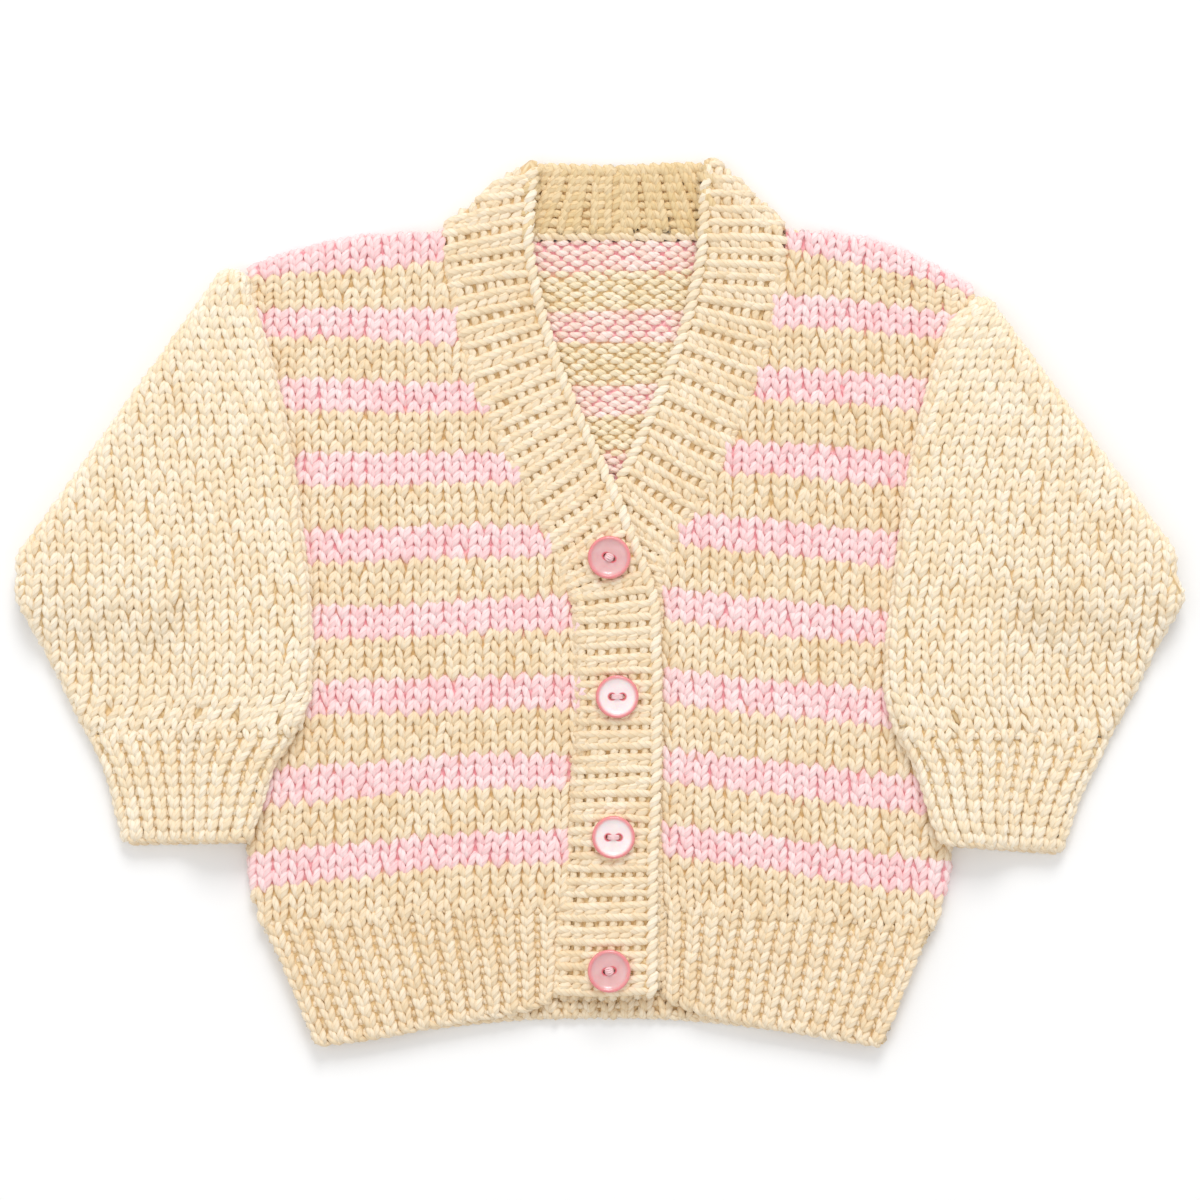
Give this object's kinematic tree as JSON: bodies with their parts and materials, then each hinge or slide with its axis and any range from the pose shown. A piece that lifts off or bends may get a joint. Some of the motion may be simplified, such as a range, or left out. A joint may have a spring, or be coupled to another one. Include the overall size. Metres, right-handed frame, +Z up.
{
  "type": "knitted baby cardigan",
  "caption": "Hand-knitted baby cardigan with striped fronts and ribbed bands, laid flat on its back with the sleeves folded down over the fronts.",
  "frame": {"origin": "middle of the garment's outline, on the surface it lies on", "axes": "+X across the garment towards the wearer's left, +Y from the hem to the neck, +Z up from the surface"},
  "size_m": [0.407, 0.3109, 0.0127],
  "materials": {
    "striped_knit": "soft stocking stitch in pale pink and cream stripes",
    "cream_knit": "soft cream stocking stitch and ribbing",
    "button": "moulded, pearly pink"
  },
  "bodies": {
    "root": {"back": "striped_knit", "back_welt": "cream_knit", "right_front": "striped_knit", "right_front_welt": "cream_knit", "left_front": "striped_knit", "left_front_welt": "cream_knit", "buttonhole_band": "cream_knit", "button_band": "cream_knit", "right_sleeve": "cream_knit", "right_cuff": "cream_knit", "left_sleeve": "cream_knit", "left_cuff": "cream_knit", "button_1": "button", "button_2": "button", "button_3": "button", "button_4": "button"}
  },
  "joints": []
}
